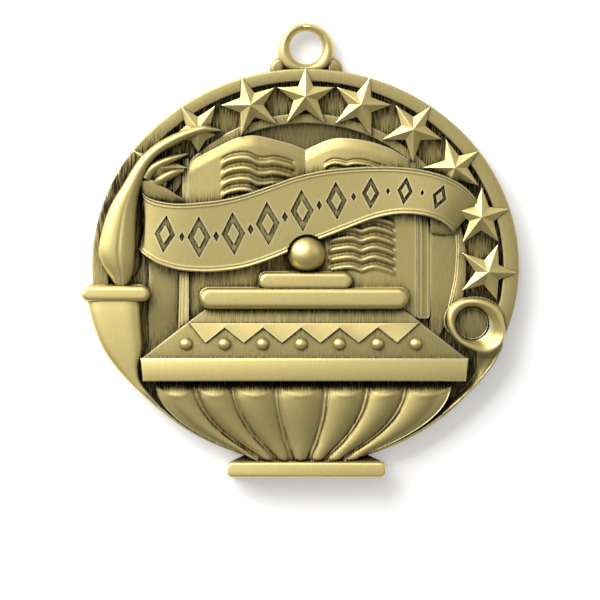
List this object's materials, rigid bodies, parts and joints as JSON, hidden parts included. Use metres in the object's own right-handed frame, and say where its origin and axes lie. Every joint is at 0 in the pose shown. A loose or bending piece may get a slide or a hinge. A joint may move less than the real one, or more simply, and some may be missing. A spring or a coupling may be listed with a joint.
{
  "type": "academic medallion",
  "caption": "Oval cast medallion with raised stars, open book, waving banner and oil lamp, a flat back and a round hanging loop on top.",
  "frame": {"origin": "centre of the oval body on its flat back", "axes": "+Z out of the face with the relief, +Y up towards the hanging loop, +X to the viewer's right"},
  "size_m": [0.0611, 0.0633, 0.0055],
  "materials": {
    "cast_metal": "antiqued cast metal: satin gold-coloured high parts, dark brown recesses with fine upright brushing"
  },
  "bodies": {
    "root": {"medallion": "cast_metal"}
  },
  "joints": []
}
